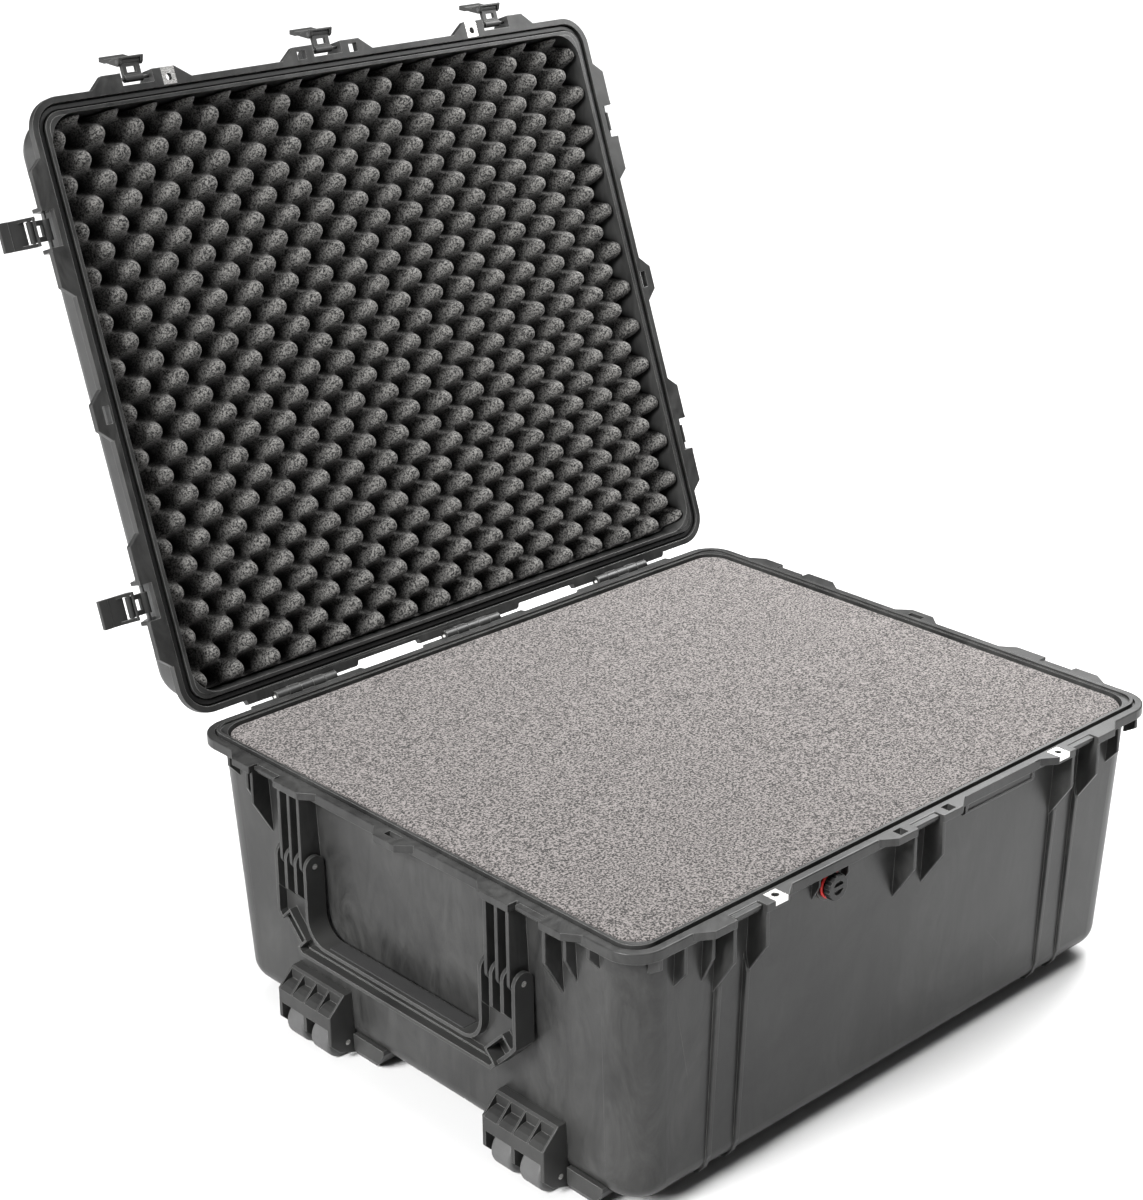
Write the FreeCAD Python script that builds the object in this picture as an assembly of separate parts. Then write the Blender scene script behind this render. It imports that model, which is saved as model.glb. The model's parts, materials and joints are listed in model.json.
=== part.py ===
import FreeCAD, Part
import math
import os

# Hard equipment case: a deep moulded base and a shallow hinged lid, seven two-part latches,
# a folding handle at each end, wheels under one end, and foam inside both halves.
# Origin: on the floor under the middle of the base. X runs along the case, with the wheels at -X.
# The latched front is at -Y and the hinges are at +Y. Z is up. Millimetres.
# The lid stands open. It is drawn shut and then turned back about the hinge axis.

V = FreeCAD.Vector

# Shell
RIM_LENGTH = 804.0
RIM_DEPTH = 682.0
RIM_Z = 314.0
RIM_RADIUS = 36.0
FLANGE_HEIGHT = 11.0
WALL_INSET = 12.0
WALL_THICKNESS = 5.0
WALL_RADIUS = 41.0
INNER_RADIUS = 33.0
DRAFT = 0.048
UNDERSIDE_Z = 17.0
BOTTOM_RADIUS = 24.0
EDGE_SOFTENING = 0.8
FIN_THICKNESS = 4.5
SINK = 2.5

# Rim face, measured inward from the rim edge
GROOVE = (8.5, 11.0)
GROOVE_DEPTH = 3.0
LIP = (11.0, 14.5)
LIP_HEIGHT = 3.0

# Lid
PARTING_GAP = 0.4
LID_DEPTH = 70.0
LID_FLANGE = 10.0
LID_EDGE_RADIUS = 22.0
LID_OPENING_INSET = 19.5
GASKET_GROOVE = (7.0, 15.5)
GASKET = (8.7, 14.2)
GASKET_GROOVE_DEPTH = 8.0
GASKET_FACE = 3.3
CORNER_PAD_REACH = 75.0
CORNER_PAD_PROUD = 2.7
LID_OPEN_ANGLE = 109.4

# Hinges
HINGE_OUT = 7.0
HINGE_CENTRES = (-246.0, 0.0, 246.0)
HINGE_KNUCKLE_SPAN = 84.0
HINGE_BRACKET_SPAN = 152.0
KNUCKLE_RADIUS = 6.5
KNUCKLE_COUNT = 5
KNUCKLE_GAP = 0.6
HINGE_PIN_RADIUS = 2.5
HINGE_RELIEF = 0.7

# Latches
FRONT_STATIONS = (-260.0, 0.0, 260.0)
SIDE_STATIONS = (-205.0, 205.0)
STATION_GAP = 40.0
EAR_THICKNESS = 8.5
EAR_REACH = 11.5
LID_EAR_REACH = 14.0
LINK_PIVOT = (8.0, 9.0)
LINK_LENGTH = 19.5
LINK_HALF_WIDTH = 11.5
LEVER_HALF_WIDTH = 16.0
LEVER_CHEEK = 3.6
LEVER_LENGTH = 35.0
LATCH_PIN_RADIUS = 2.0
FOLDED_LEVER = 68.0
LINK_OUT = 90.0
LINK_LAID_BACK = 180.0
TAB_SLOT_OFFSET = 37.3

# Padlock plates
PADLOCK_OFFSET = 40.0
PADLOCK_SIZE = 17.0
PADLOCK_HOLE_RADIUS = 4.0
PADLOCK_STEEL = 1.5

# Handles
HANDLE_ARM = 162.0
HANDLE_PIN_Z = 226.0
HANDLE_PIN_OUT = -2.0
HANDLE_PIN_RADIUS = 3.0
HANDLE_RIB_PITCH = 16.2
HANDLE_RIB_THICKNESS = 4.5
HANDLE_FRONT = 10.0
HANDLE_BACK = -14.0
HANDLE_BOTTOM_Z = 120.0
HANDLE_WINDOW_Z = 144.0
HANDLE_WINDOW_RADIUS = 26.0
HANDLE_CHAMFER = 38.0
HANDLE_WALL = 4.0
HANDLE_FLOOR = 0.0
HANDLE_PLATE_DROP = 26.0
GRIP_HALF_LENGTH = 106.0
GRIP_DEPTH = 2.5
GRIP_PROUD = 0.8

# Wheels, seen in the X-Z plane at the -X end
WHEEL_RADIUS = 20.5
WHEEL_WIDTH = 30.0
WHEEL_PITCH = 42.5
AXLE_X = -386.4
AXLE_RADIUS = 3.0
HOUSING_CENTRES = {"rear": 156.0, "front": -177.0}
HOUSING_WIDTH = 90.0
HOUSING_PLATE = 5.0
WELL_CLEARANCE = 2.5
HOUSING_FACE = -408.6
ARCH_TOP = 42.0
GUSSET_THICKNESS = 2.6
SKID_OFFSET = -71.5
SKID_LENGTH = 50.0

# Purge valve
VALVE_X = -127.5
VALVE_Z = 285.0
VALVE_KNOB_RADIUS = 14.0
VALVE_BODY_RADIUS = 9.0

# Foam
FOAM_CLEARANCE = 1.0
FOAM_PAD_HEIGHT = 42.0
FOAM_TOP_Z = 313.0
FOAM_RADIUS = 32.0
LID_FOAM_INSET = 22.5
LID_FOAM_FACE = 3.0
FIT = 0.05

HALF_X = RIM_LENGTH / 2
HALF_Y = RIM_DEPTH / 2
LID_Z = RIM_Z + PARTING_GAP
HINGE_Y = HALF_Y + HINGE_OUT
HINGE_Z = RIM_Z + PARTING_GAP / 2
INNER_FLOOR_Z = UNDERSIDE_Z + WALL_THICKNESS

# Each side of the rim: the turn that points +Y outward, and the middle of the rim edge
SIDES = {
    "front": (180, V(0, -HALF_Y, 0), V(1, 0, 0)),
    "back": (0, V(0, HALF_Y, 0), V(1, 0, 0)),
    "left": (90, V(-HALF_X, 0, 0), V(0, 1, 0)),
    "right": (-90, V(HALF_X, 0, 0), V(0, 1, 0)),
}


# ---------------------------------------------------------------- helpers

def on_side(shape, side, along=0.0, height=RIM_Z):
    """Moves a shape drawn as (along the rim, outward, up from the rim plane) to one side."""
    turn, middle, direction = SIDES[side]
    placed = shape.copy()
    placed.rotate(V(0, 0, 0), V(0, 0, 1), turn)
    placed.translate(middle + direction * along + V(0, 0, height))
    return placed


def open_lid(shape):
    """Turns a shape of the shut lid back about the hinge axis."""
    turned = shape.copy()
    turned.rotate(V(0, HINGE_Y, HINGE_Z), V(1, 0, 0), -LID_OPEN_ANGLE)
    return turned


def joined(shapes):
    whole = shapes[0].multiFuse(shapes[1:]) if len(shapes) > 1 else shapes[0]
    return whole.removeSplitter()


def without(shape, tools):
    return shape.cut(tools)


def mirrored(shape, normal=V(1, 0, 0)):
    return shape.mirror(V(0, 0, 0), normal)


def polygon(points):
    return Part.Face(Part.makePolygon(points + points[:1]))


def plan(points, low, high):
    """A prism on an outline of (x, y) points."""
    return polygon([V(x, y, low) for x, y in points]).extrude(V(0, 0, high - low))


def profile(points, start, end):
    """A prism along X on an outline of (y, z) points."""
    return polygon([V(start, y, z) for y, z in points]).extrude(V(end - start, 0, 0))


def elevation(points, start, end):
    """A prism along Y on an outline of (x, z) points."""
    return polygon([V(x, start, z) for x, z in points]).extrude(V(0, end - start, 0))


def block(x0, x1, y0, y1, z0, z1):
    return Part.makeBox(x1 - x0, y1 - y0, z1 - z0, V(x0, y0, z0))


def rod(radius, start, end, axis="x", a=0.0, b=0.0):
    """A cylinder along X through (y, z) = (a, b), or along Y through (x, z) = (a, b)."""
    if axis == "x":
        return Part.makeCylinder(radius, end - start, V(start, a, b), V(1, 0, 0))
    return Part.makeCylinder(radius, end - start, V(a, start, b), V(0, 1, 0))


def rounded_wire(half_x, half_y, radius, z):
    corners = [(1, 1), (-1, 1), (-1, -1), (1, -1)]
    edges = []
    ends = []
    for index, (sx, sy) in enumerate(corners):
        centre = V(sx * (half_x - radius), sy * (half_y - radius), z)
        start = index * math.pi / 2
        points = [centre + V(math.cos(start + step * math.pi / 4) * radius,
                             math.sin(start + step * math.pi / 4) * radius, 0) for step in range(3)]
        if ends:
            edges.append(Part.makeLine(ends[-1], points[0]))
        edges.append(Part.Arc(*points).toShape())
        ends.append(points[2])
    first = edges[0].Vertexes[0].Point
    edges.append(Part.makeLine(ends[-1], first))
    return Part.Wire(edges)


def slab(inset, low, high, radius=None):
    """A rounded plate that follows the rim, set in from its edge."""
    corner = RIM_RADIUS - inset if radius is None else radius
    return Part.Face(rounded_wire(HALF_X - inset, HALF_Y - inset, corner, low)).extrude(V(0, 0, high - low))


def ring(outer, inner, low, high):
    return slab(outer, low, high).cut(slab(inner, low - 1, high + 1))


def tub(inset_low, z_low, inset_high, z_high, radius):
    """A drafted block with rounded upright corners."""
    wires = [rounded_wire(HALF_X - inset, HALF_Y - inset, radius, z)
             for inset, z in ((inset_low, z_low), (inset_high, z_high))]
    return Part.makeLoft(wires, True, True)


def edges_at(shape, z):
    return [edge for edge in shape.Edges
            if abs(edge.BoundBox.ZMin - z) < 0.01 and abs(edge.BoundBox.ZMax - z) < 0.01]


def softened(shape, keep, radius=EDGE_SOFTENING):
    """Rounds the edges whose middle passes the test."""
    chosen = [edge for edge in shape.Edges if keep(edge.CenterOfMass)]
    return shape.makeFillet(radius, chosen)


def wall_out(depth, sink=0.0):
    """Where the wall's outer face is, outward from the rim edge, at a depth below the rim."""
    return -(WALL_INSET + DRAFT * depth + sink)


def fin(reach, straight, tip, thickness=FIN_THICKNESS, top=0.0):
    """An upright web under the flange: down its outer edge, then sloping back to the wall."""
    outline = [(wall_out(top, SINK), -top), (reach, -top), (reach, -straight),
               (wall_out(tip), -tip), (wall_out(tip, SINK), -tip)]
    web = profile(outline, -thickness / 2, thickness / 2)
    return softened(web, lambda m: m.y > wall_out(tip) + 1 and m.z < -top - 1, EDGE_SOFTENING)


def ear(start, outer, root, reach, thickness, above=0.0):
    """A flat tab on the rim, from the gap side out to where it slants back to the rim."""
    outline = [(start, -8), (start, reach), (outer, reach), (root, 0), (root, -8)]
    plate = plan(outline, -thickness + above, above)
    return softened(plate, lambda m: m.y > 1)


def moved(shape, x=0.0, y=0.0, z=0.0):
    copy = shape.copy()
    copy.translate(V(x, y, z))
    return copy


def both(shape):
    """A shape and its mirror image across the middle of a station."""
    return [shape, mirrored(shape)]


def write(name, shape):
    solids = shape.Solids
    if not solids or not shape.isValid():
        raise ValueError(name + " is not a valid solid")
    whole = solids[0] if len(solids) == 1 else Part.makeCompound(solids)
    whole.exportStep("parts/" + name + ".step")
    box = whole.BoundBox
    print(name, len(solids), [round(v, 1) for v in (box.XMin, box.YMin, box.ZMin, box.XMax, box.YMax, box.ZMax)])


# ---------------------------------------------------------------- base shell

def outer_tub(grow=0.0):
    depth = RIM_Z - UNDERSIDE_Z + grow
    body = tub(WALL_INSET + DRAFT * depth - grow, UNDERSIDE_Z - grow, WALL_INSET - grow, RIM_Z,
                      WALL_RADIUS + grow)
    return body.makeFillet(BOTTOM_RADIUS, edges_at(body, UNDERSIDE_Z - grow))


def inner_tub():
    depth = RIM_Z - INNER_FLOOR_Z
    inset = WALL_INSET + WALL_THICKNESS
    body = tub(inset + DRAFT * depth, INNER_FLOOR_Z, inset - DRAFT * 10, RIM_Z + 10, INNER_RADIUS)
    return body.makeFillet(BOTTOM_RADIUS - WALL_THICKNESS, edges_at(body, INNER_FLOOR_Z))


def wheel_wells(radius, extra_width=0.0):
    """Cylinders over the two wheel positions of each housing."""
    half = WHEEL_PITCH + HOUSING_PLATE * 0.5 + extra_width
    return [rod(radius, centre - half, centre + half, "y", AXLE_X, WHEEL_RADIUS)
            for centre in HOUSING_CENTRES.values()]


def latch_web(reach):
    """The web beside a latch, on the +along side of its station."""
    return moved(fin(reach, 45, 86), x=STATION_GAP / 2 + FIN_THICKNESS / 2)


def catch_lip():
    """The ledge under the rim that a latch's nose hooks."""
    return softened(block(-18, 18, -8, 6, -5, -1), lambda m: m.y > 5.9)


def front_features():
    reach = STATION_GAP / 2
    shapes = []
    for station in FRONT_STATIONS:
        local = [catch_lip()] + both(latch_web(10.5))
        local += both(ear(reach, reach + 30, reach + 47, EAR_REACH, EAR_THICKNESS))
        shapes += [on_side(shape, "front", station) for shape in local]
    for sign in (-1, 1):
        for along, straight, tip in ((299, 38, 68), (336, 40, 57), (368, 22, 30)):
            shapes.append(on_side(fin(-0.5, straight, tip, top=6), "front", sign * along))
    return shapes


def label_panel():
    """A raised blank panel under the front rim."""
    start, end, low = 69.0, 184.0, -23.0
    outline = [(-14, 0), (0, 0), (0, low + 3), (-3, low), (wall_out(-low, SINK), low)]
    panel = profile(outline, -end, -start)
    recess = block(-end + 4, -start - 4, -1.2, 2, low + 5, -FLANGE_HEIGHT + 7)
    return on_side(panel.cut(recess), "front")


def tie_down_tab(reach, outer, root, thickness, above=0.0):
    outline = [(-root, -8), (-root, 0), (-outer, reach), (outer, reach), (root, 0), (root, -8)]
    plate = softened(plan(outline, above - thickness, above), lambda m: m.y > 1)
    slot = block(-10, 10, -4, 4, -20, 20)
    return plate, slot


def handle_bracket():
    """A flat cap on the rim over three webs that hold the handle pin."""
    drop = RIM_Z - HANDLE_PIN_Z
    cap = plan([(-21, -8), (-21, 12), (20, 12), (36, 0), (36, -8)], -EAR_THICKNESS, 0)
    shapes = [softened(cap, lambda m: m.y > 1)]
    radius = 11.0
    for index in (-1, 0, 1):
        low = HANDLE_PIN_OUT, -drop - radius
        side = HANDLE_PIN_OUT + radius, -drop
        bend = (HANDLE_PIN_OUT + radius * math.sin(math.pi / 4), -drop - radius * math.cos(math.pi / 4))
        arc = Part.Arc(V(0, *side), V(0, *bend), V(0, *low)).toShape()
        back = wall_out(drop + radius, SINK)
        path = Part.makePolygon([V(0, *low), V(0, back, low[1]), V(0, wall_out(0, SINK), 0),
                                 V(0, side[0], 0), V(0, *side)])
        face = Part.Face(Part.Wire([arc] + path.Edges))
        web = face.extrude(V(HANDLE_RIB_THICKNESS, 0, 0))
        web = softened(web, lambda m: m.y > -1 and -drop - radius < m.z < -1, 0.7)
        shapes.append(moved(web, x=index * HANDLE_RIB_PITCH - HANDLE_RIB_THICKNESS / 2))
    bore = rod(HANDLE_PIN_RADIUS + FIT, -30, 30, "x", HANDLE_PIN_OUT, -drop)
    return joined(shapes).cut(bore)


def end_features(side):
    reach = STATION_GAP / 2
    turned = 1 if side == "right" else -1
    shapes = []
    for sign in (-1, 1):
        station = sign * SIDE_STATIONS[1]
        outward = -sign * turned
        flank = [latch_web(7.5), ear(reach, reach + 30, reach + 47, EAR_REACH, EAR_THICKNESS)]
        local = [catch_lip()] + (flank if outward > 0 else [mirrored(shape) for shape in flank])
        shapes += [on_side(shape, side, station) for shape in local]
        for along, straight, tip in ((247, 37, 66), (279, 22, 37)):
            shapes.append(on_side(fin(-0.5, straight, tip, top=6), side, sign * along))
        bracket = handle_bracket()
        bracket = mirrored(bracket) if outward > 0 else bracket
        shapes.append(on_side(bracket, side, sign * HANDLE_ARM))
    return shapes


def hinge_segments(owner):
    """The start and end of each knuckle of one leaf, across the knuckle span."""
    pitch = HINGE_KNUCKLE_SPAN / KNUCKLE_COUNT
    first = 0 if owner == "base" else 1
    return [(-HINGE_KNUCKLE_SPAN / 2 + index * pitch + KNUCKLE_GAP / 2,
             -HINGE_KNUCKLE_SPAN / 2 + (index + 1) * pitch - KNUCKLE_GAP / 2)
            for index in range(first, KNUCKLE_COUNT, 2)]


def hinge_leaf(owner):
    """The knuckles and bracket plate of one half of a hinge, drawn about the rim plane."""
    up = 1 if owner == "lid" else -1
    axis_z = HINGE_Z - (LID_Z if owner == "lid" else RIM_Z)
    half = HINGE_BRACKET_SPAN / 2
    face = 8.5 * up
    plate = plan([(-half - 6, -8), (-half, 6), (half, 6), (half + 6, -8)], min(0, face), max(0, face))
    plate = plate.cut(rod(KNUCKLE_RADIUS + HINGE_RELIEF, -HINGE_KNUCKLE_SPAN / 2 - KNUCKLE_GAP,
                          HINGE_KNUCKLE_SPAN / 2 + KNUCKLE_GAP, "x", HINGE_OUT, axis_z))
    shapes = [plate]
    for start, end in hinge_segments(owner):
        shapes.append(rod(KNUCKLE_RADIUS, start, end, "x", HINGE_OUT, axis_z))
        outline = [(-4, 0), (HINGE_OUT, 0), (HINGE_OUT + 3, face * 0.6), (HINGE_OUT - 1, face), (-4, face)]
        shapes.append(profile(outline, start, end))
    bore = rod(HINGE_PIN_RADIUS + FIT, -HINGE_KNUCKLE_SPAN, HINGE_KNUCKLE_SPAN, "x", HINGE_OUT, axis_z)
    return joined(shapes).cut(bore)


def back_features():
    shapes = []
    for centre in HINGE_CENTRES:
        shapes.append(on_side(hinge_leaf("base"), "back", centre))
        for offset, reach in ((-70, 4.0), (-24, -2.0), (24, -2.0), (70, 4.0)):
            shapes.append(on_side(fin(reach, 12, 66, top=5), "back", centre + offset))
    return shapes


def long_rib(side, along):
    """A rib down the wall that wraps under the bottom edge as a runner."""
    depth = RIM_Z - UNDERSIDE_Z
    proud = 5.0
    low = -depth - 4.0
    corner = wall_out(depth) + proud
    outline = [(wall_out(60, SINK), -60), (wall_out(60), -60), (wall_out(80) + proud, -80),
               (corner - 1, -depth + 24), (corner - 6, -depth + 9), (corner - 15, low + 2),
               (corner - 23, low), (-HALF_Y, low), (-HALF_Y, -depth + 1), (-48, -depth + 1),
               (wall_out(depth - 24, SINK), -depth + 26)]
    rib = profile(outline, -3, 3)
    return on_side(softened(rib, lambda m: m.y > -70 and m.z < -70 and abs(m.x) > 2.9, 1.2), side, along)


def rest_foot(y):
    """A moulded foot under the end away from the wheels."""
    body = block(300, 350, y - 25, y + 25, 0, UNDERSIDE_Z + 1)
    return softened(body, lambda m: m.z < UNDERSIDE_Z - 2, 3.0)


def valve_seat():
    seat = Part.makeCylinder(17.5, 6, V(0, wall_out(29) - 4, 0), V(0, 1, 0))
    shapes = [on_side(seat, "front", VALVE_X, VALVE_Z)]
    for offset in (-21, 21):
        shapes.append(on_side(fin(-4.0, 22, 40, thickness=3.0, top=6), "front", VALVE_X + offset))
    return shapes


def padlock_seats(above):
    """Pockets for the steel plates in the inner ears of the outer front latches."""
    half = PADLOCK_SIZE / 2 + FIT
    low, high = (-PADLOCK_STEEL - FIT, 1) if above < 0 else (-1, PADLOCK_STEEL + FIT)
    reach = EAR_REACH if above < 0 else LID_EAR_REACH
    shapes = []
    for sign in (-1, 1):
        along = sign * (FRONT_STATIONS[2] - PADLOCK_OFFSET)
        local = [block(-half, half, -5.5 - FIT, 20, low, high),
                 block(-half, half, reach - PADLOCK_STEEL - FIT, 20, -6, 6),
                 Part.makeCylinder(PADLOCK_HOLE_RADIUS + 1, 40, V(0, 2.5, -20))]
        height = RIM_Z if above < 0 else LID_Z
        shapes += [on_side(shape, "front", along, height) for shape in local]
    return shapes


def base_shell():
    flange = slab(0, RIM_Z - FLANGE_HEIGHT, RIM_Z)
    flange = flange.makeFillet(1.5, edges_at(flange, RIM_Z))
    shapes = [outer_tub(), flange, ring(LIP[0], LIP[1], RIM_Z - 4, RIM_Z + LIP_HEIGHT)]
    shapes += front_features() + [label_panel()] + back_features() + valve_seat()
    tools = []
    for side in ("left", "right"):
        shapes += end_features(side)
        tab, slot = tie_down_tab(13, 16, 31, EAR_THICKNESS)
        shapes.append(on_side(tab, side))
        tools.append(on_side(slot, side))
    for side in ("front", "back"):
        shapes += [long_rib(side, along) for along in (-279.5, -240.5, 240.5, 279.5)]
    shapes += [rest_foot(y) for y in (-235, 235)]
    for sign in (-1, 1):
        tools.append(on_side(block(-6, 6, -3, 8, -20, 5), "front", sign * TAB_SLOT_OFFSET))
    tools += padlock_seats(-1)
    hollow = without(inner_tub(), wheel_wells(WHEEL_RADIUS + WELL_CLEARANCE + 4, 4))
    tools.append(hollow)
    tools += wheel_wells(WHEEL_RADIUS + WELL_CLEARANCE)
    tools.append(on_side(Part.makeCylinder(VALVE_BODY_RADIUS + FIT, 60, V(0, -40, 0), V(0, 1, 0)),
                         "front", VALVE_X, VALVE_Z))
    tools.append(ring(GROOVE[0], GROOVE[1], RIM_Z - GROOVE_DEPTH, RIM_Z + 2))
    return without(joined(shapes), tools).removeSplitter()


# ---------------------------------------------------------------- lid

def lid_outer(grow=0.0):
    body = tub(WALL_INSET - grow, LID_Z, WALL_INSET + DRAFT * LID_DEPTH - grow, LID_Z + LID_DEPTH,
               WALL_RADIUS + grow)
    return body.makeFillet(LID_EDGE_RADIUS, edges_at(body, LID_Z + LID_DEPTH))


def corner_pads():
    """Thicker bands round the four upright corners of the lid."""
    band = lid_outer(CORNER_PAD_PROUD)
    far = HALF_X + 20
    boxes = []
    for sx in (-1, 1):
        for sy in (-1, 1):
            x0, x1 = sorted((sx * (HALF_X - CORNER_PAD_REACH), sx * far))
            y0, y1 = sorted((sy * (HALF_Y - CORNER_PAD_REACH), sy * far))
            boxes.append(block(x0, x1, y0, y1, LID_Z + 4, LID_Z + LID_DEPTH - 14))
    return band.common(Part.makeCompound(boxes))


def lid_station(outer, root):
    """Webs and tabs that hold a latch on the lid, drawn upward from the rim plane."""
    reach = STATION_GAP / 2
    outline = [(wall_out(0, SINK), 0), (LID_EAR_REACH, 0), (LID_EAR_REACH, 20),
               (wall_out(48), 48), (wall_out(48, SINK), 48)]
    web = profile(outline, reach, reach + FIN_THICKNESS)
    web = softened(web, lambda m: m.y > -10 and m.z > 1)
    bore = rod(LATCH_PIN_RADIUS + FIT, -40, 40, "x", *LINK_PIVOT)
    ears = []
    for sign in (0, 1):
        tab = ear(reach, outer[sign], root[sign], LID_EAR_REACH, EAR_THICKNESS, above=EAR_THICKNESS)
        ears.append(mirrored(tab) if sign == 0 else tab)
    return [shape.cut(bore) for shape in both(web)] + [shape.cut(bore) for shape in ears]


def lid_features():
    shapes = []
    for station in FRONT_STATIONS:
        inner = (50, 70)
        outer = (44, 60)
        middle = (48, 66)
        if station == 0:
            first, second = middle, middle
        else:
            first, second = (outer, inner) if station > 0 else (inner, outer)
        local = lid_station((first[0], second[0]), (first[1], second[1]))
        shapes += [on_side(shape, "front", station, LID_Z) for shape in local]
    for side in ("left", "right"):
        for station in SIDE_STATIONS:
            local = lid_station((63, 63), (75, 75))
            shapes += [on_side(shape, side, station, LID_Z) for shape in local]
    for centre in HINGE_CENTRES:
        shapes.append(on_side(hinge_leaf("lid"), "back", centre, LID_Z))
    return shapes


def stacking_ribs():
    """Low ribs on top of the lid."""
    top = LID_Z + LID_DEPTH
    shapes = []
    for index in range(-3, 4):
        rib = block(-290, 290, index * 76 - 9, index * 76 + 9, top - 2, top + 2.5)
        shapes.append(softened(rib, lambda m: m.z > top + 2.4, 1.5))
    for sign in (-1, 1):
        bar = block(sign * 318 - 9, sign * 318 + 9, -237, 237, top - 2, top + 2.5)
        shapes.append(softened(bar, lambda m: m.z > top + 2.4, 1.5))
    return shapes


def lid_shell():
    flange = slab(0, LID_Z, LID_Z + LID_FLANGE)
    flange = flange.makeFillet(1.5, edges_at(flange, LID_Z + LID_FLANGE))
    shapes = [lid_outer(), flange, corner_pads()] + lid_features() + stacking_ribs()
    tools = []
    for side in ("left", "right"):
        tab, slot = tie_down_tab(15, 14.5, 28.5, EAR_THICKNESS, above=EAR_THICKNESS)
        shapes.append(on_side(tab, side, 0, LID_Z))
        tools.append(on_side(slot, side, 0, LID_Z))
    inside = tub(LID_OPENING_INSET, LID_Z - 1, LID_OPENING_INSET + 2.0, LID_Z + LID_DEPTH - WALL_THICKNESS,
                 INNER_RADIUS)
    inside = inside.makeFillet(LID_EDGE_RADIUS - WALL_THICKNESS,
                               edges_at(inside, LID_Z + LID_DEPTH - WALL_THICKNESS))
    tools.append(inside)
    tools.append(ring(GASKET_GROOVE[0], GASKET_GROOVE[1], LID_Z - 1, LID_Z + GASKET_GROOVE_DEPTH))
    tools.append(ring(GASKET_GROOVE[1], LID_OPENING_INSET + 1, LID_Z - 1, LID_Z + PARTING_GAP))
    for sign in (-1, 1):
        tools.append(on_side(block(-6, 6, -1, 9, -2, 20), "front", sign * TAB_SLOT_OFFSET, LID_Z))
    tools += padlock_seats(1)
    return open_lid(without(joined(shapes), tools).removeSplitter())


def lid_gasket():
    body = ring(GASKET[0], GASKET[1], LID_Z + GASKET_FACE, LID_Z + GASKET_GROOVE_DEPTH)
    return open_lid(body.makeFillet(1.2, edges_at(body, LID_Z + GASKET_FACE)))


def lid_foam():
    back = LID_Z + LID_DEPTH - WALL_THICKNESS
    body = slab(LID_FOAM_INSET, LID_Z + LID_FOAM_FACE, back - FIT, FOAM_RADIUS)
    return open_lid(body.makeFillet(LID_EDGE_RADIUS - WALL_THICKNESS + 3, edges_at(body, back - FIT)))


# ---------------------------------------------------------------- small parts

def padlock_plate(up):
    """A steel plate with a padlock hole and a short lip bent over the ear's edge."""
    half = PADLOCK_SIZE / 2
    reach = LID_EAR_REACH if up > 0 else EAR_REACH
    low, high = sorted((0, up * PADLOCK_STEEL))
    flat = block(-half, half, -5.5, reach, low, high)
    bent_low, bent_high = sorted((0, up * 5.5))
    bent = block(-half, half, reach - PADLOCK_STEEL, reach, bent_low, bent_high)
    hole = Part.makeCylinder(PADLOCK_HOLE_RADIUS, 20, V(0, 2.5, -10))
    return joined([flat, bent]).cut(hole)


def padlock_plates(up):
    height = LID_Z if up > 0 else RIM_Z
    return Part.makeCompound([on_side(padlock_plate(up), "front", sign * (FRONT_STATIONS[2] - PADLOCK_OFFSET),
                                      height) for sign in (-1, 1)])


def hinge_pins():
    half = HINGE_KNUCKLE_SPAN / 2
    return Part.makeCompound([rod(HINGE_PIN_RADIUS, centre - half, centre + half, "x", HINGE_Y, HINGE_Z)
                              for centre in HINGE_CENTRES])


def stations():
    """Name, side and place along the rim of each latch."""
    listed = [("front_" + name, "front", along) for name, along in zip(("left", "middle", "right"), FRONT_STATIONS)]
    for side in ("left", "right"):
        listed += [(side + "_" + name, side, along) for name, along in zip(("front", "rear"), SIDE_STATIONS)]
    return listed


def latch_turned(shape, link_angle, lever_angle=None):
    """Swings a shut latch piece out about the link pivot, and first about the lever pivot."""
    swung = shape.copy()
    if lever_angle is not None:
        swung.rotate(V(0, LINK_PIVOT[0], LINK_PIVOT[1] - LINK_LENGTH), V(1, 0, 0), lever_angle)
    swung.rotate(V(0, LINK_PIVOT[0], LINK_PIVOT[1]), V(1, 0, 0), link_angle)
    return swung


def latch_link():
    out, top = LINK_PIVOT
    low = top - LINK_LENGTH
    half = LINK_HALF_WIDTH
    plate = block(-half, half, out - 1.6, out + 3.0, low, top)
    shapes = [plate, rod(4.2, -half, half, "x", out, top), rod(3.6, -half, half, "x", out, low)]
    holes = [rod(LATCH_PIN_RADIUS + FIT, -half - 1, half + 1, "x", out, z) for z in (low, top)]
    window = block(-6, 6, out - 5, out + 6, low + 6.5, top - 6.5)
    return without(joined(shapes), holes + [window])


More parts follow.
